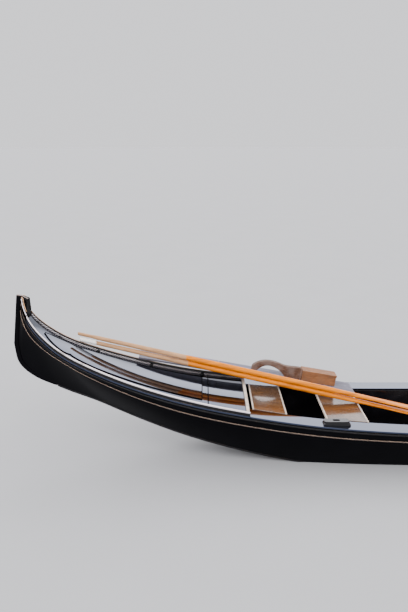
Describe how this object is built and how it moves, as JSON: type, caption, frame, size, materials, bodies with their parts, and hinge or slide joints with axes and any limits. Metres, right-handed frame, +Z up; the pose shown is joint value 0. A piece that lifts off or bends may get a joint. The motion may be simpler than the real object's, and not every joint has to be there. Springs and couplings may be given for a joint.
{
  "type": "gondola boat",
  "caption": "Black lacquered gondola afloat, with a toothed steel bow iron, tall stern, glossy decks, open wells, red seats, two oars and a loose carved oarlock on a grey cover board.",
  "frame": {"origin": "on the waterline amidships, on the line from the stem to the stern post", "axes": "+X to the bow, +Y to port, +Z up"},
  "size_m": [11.0494, 1.433, 1.8628],
  "materials": {
    "lacquer": "gloss black lacquer",
    "carved": "black lacquered carving, satin",
    "steel": "polished and brushed, slightly browned",
    "brass": "polished",
    "varnish": "high gloss varnish",
    "bare_wood": "worn bare edge",
    "red_cloth": "bright red upholstery",
    "grey_board": "weathered matte grey",
    "oar_wood": "pale blade, orange varnished loom",
    "walnut": "oiled"
  },
  "bodies": {
    "root": {"aft_bulkhead": "carved", "aft_deck": "lacquer", "aft_floor": "carved", "aft_lip": "bare_wood", "aft_panel": "lacquer", "aft_rim_port": "carved", "aft_rim_starboard": "carved", "aft_thwart": "varnish", "bow_iron": "steel", "brass_strip_1": "brass", "brass_strip_2": "brass", "cabin_floor": "carved", "chair_cushion_port": "red_cloth", "chair_cushion_starboard": "red_cloth", "chair_port": "red_cloth", "chair_starboard": "red_cloth", "coaming_port_1": "carved", "coaming_port_2": "carved", "coaming_port_3": "carved", "coaming_port_4": "carved", "coaming_starboard_1": "carved", "coaming_starboard_2": "carved", "coaming_starboard_3": "carved", "coaming_starboard_4": "carved", "cover_board": "grey_board", "fore_bulkhead": "carved", "fore_deck": "lacquer", "fore_floor": "carved", "fore_lip": "bare_wood", "fore_panel": "lacquer", "fore_rim_port": "carved", "fore_rim_starboard": "carved", "fore_step": "varnish", "fore_thwart": "varnish", "lower_bead_port": "lacquer", "lower_bead_starboard": "lacquer", "mid_thwart": "varnish", "oar_lower": "oar_wood", "oar_upper": "oar_wood", "oarlock": "walnut", "oarlock_block": "lacquer", "planking_port": "lacquer", "planking_starboard": "lacquer", "rubbing_rail_port": "lacquer", "rubbing_rail_starboard": "lacquer", "side_deck_port": "lacquer", "side_deck_starboard": "lacquer", "sofa_back": "lacquer", "sofa_back_cushion": "red_cloth", "sofa_base": "lacquer", "sofa_seat_cushion": "red_cloth", "stem_post": "lacquer", "step_box": "varnish", "stern_iron": "steel", "stern_post": "lacquer", "bottom_planking_aft": "lacquer", "bottom_planking_middle": "lacquer", "bottom_planking_fore": "lacquer", "stern_head": "lacquer"}
  },
  "joints": []
}
